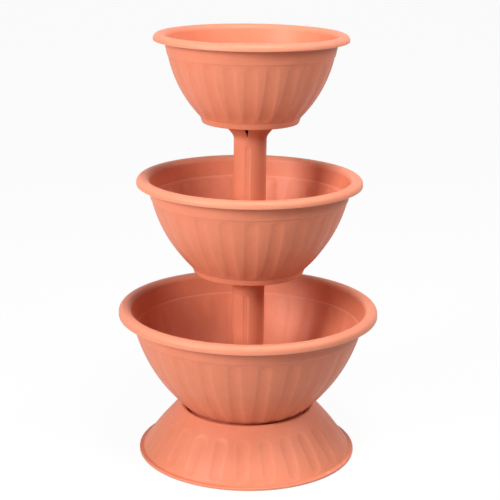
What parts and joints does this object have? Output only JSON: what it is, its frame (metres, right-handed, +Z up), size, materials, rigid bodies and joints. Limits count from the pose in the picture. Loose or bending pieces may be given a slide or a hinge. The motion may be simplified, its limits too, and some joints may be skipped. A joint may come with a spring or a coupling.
{
  "type": "tiered planter",
  "caption": "Tiered planter: fluted round bowls, smaller towards the top, stacked on tubular posts over a flared base skirt; every bowl and post lifts off.",
  "frame": {"origin": "centre of the base skirt's foot, on the floor", "axes": "+Z up along the axis of the bowls and posts, -Y towards the viewer of the picture"},
  "size_m": [0.4, 0.4, 0.6533],
  "materials": {
    "terracotta": "satin moulded terracotta colour"
  },
  "bodies": {
    "base_skirt": {"base_skirt": "terracotta"},
    "bottom_bowl": {"bottom_bowl": "terracotta"},
    "lower_post": {"lower_post": "terracotta"},
    "middle_bowl": {"middle_bowl": "terracotta"},
    "upper_post": {"upper_post": "terracotta"},
    "top_bowl": {"top_bowl": "terracotta"}
  },
  "joints": [
    {"name": "bottom_bowl_lift", "type": "slide", "parent": "base_skirt", "child": "bottom_bowl", "axis": [0, 0, 1], "range_m": [0, 0.06]},
    {"name": "lower_post_lift", "type": "slide", "parent": "bottom_bowl", "child": "lower_post", "axis": [0, 0, 1], "range_m": [0, 0.18]},
    {"name": "middle_bowl_lift", "type": "slide", "parent": "lower_post", "child": "middle_bowl", "axis": [0, 0, 1], "range_m": [0, 0.06]},
    {"name": "upper_post_lift", "type": "slide", "parent": "middle_bowl", "child": "upper_post", "axis": [0, 0, 1], "range_m": [0, 0.15]},
    {"name": "top_bowl_lift", "type": "slide", "parent": "upper_post", "child": "top_bowl", "axis": [0, 0, 1], "range_m": [0, 0.06]}
  ]
}
